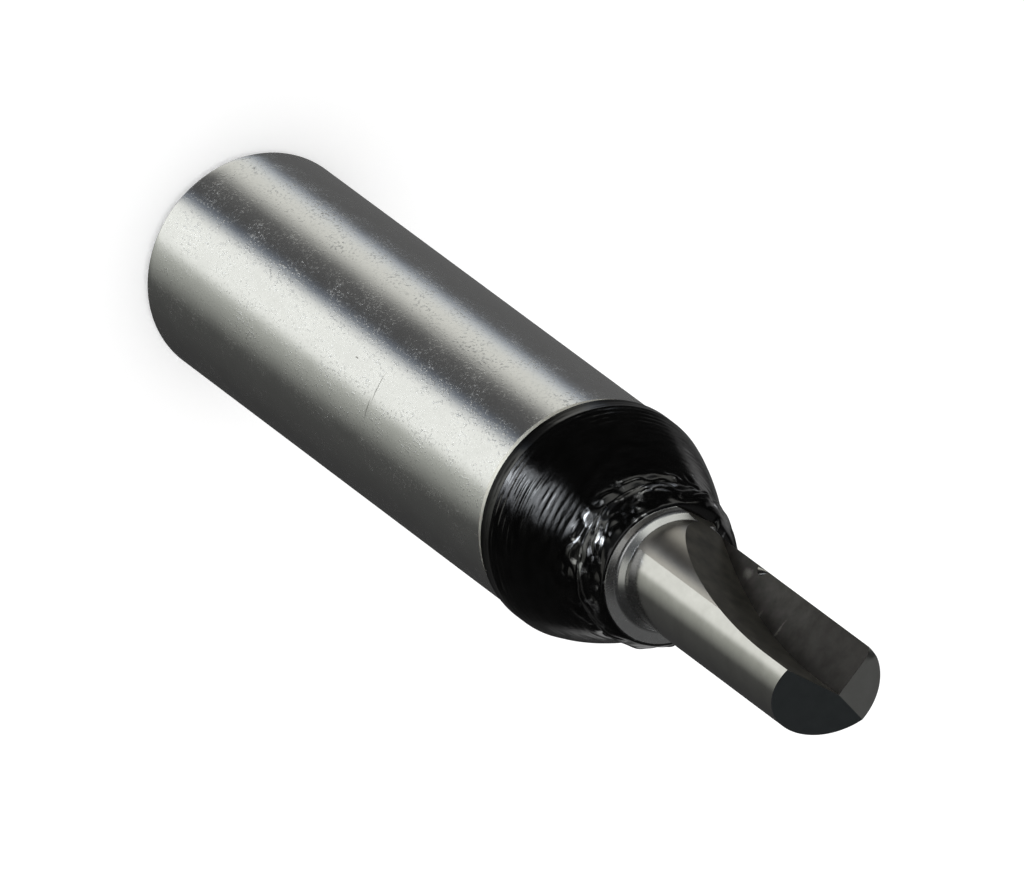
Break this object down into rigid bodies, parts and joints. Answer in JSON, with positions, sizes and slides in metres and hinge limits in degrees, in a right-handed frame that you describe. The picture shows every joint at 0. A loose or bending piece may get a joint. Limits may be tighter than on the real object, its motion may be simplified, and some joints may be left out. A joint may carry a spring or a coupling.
{
  "type": "router bit",
  "caption": "Straight single-flute router bit: solid carbide cutter brazed into a short ground steel shank with a black lacquered nose.",
  "frame": {"origin": "centre of the shank's flat back face", "axes": "+Z along the tool's axis towards the cutting end, +X the way the rake face looks, and the cutting edge on the -Y side"},
  "size_m": [0.013, 0.013, 0.0672],
  "materials": {
    "ground_steel": "satin ground shank, with the turned nose lacquered black",
    "lacquered_braze": "silver braze under gloss black lacquer",
    "carbide": "fine ground tungsten carbide, dull on the rake face"
  },
  "bodies": {
    "root": {"shank": "ground_steel", "braze_joint": "lacquered_braze", "carbide_cutter": "carbide"}
  },
  "joints": []
}
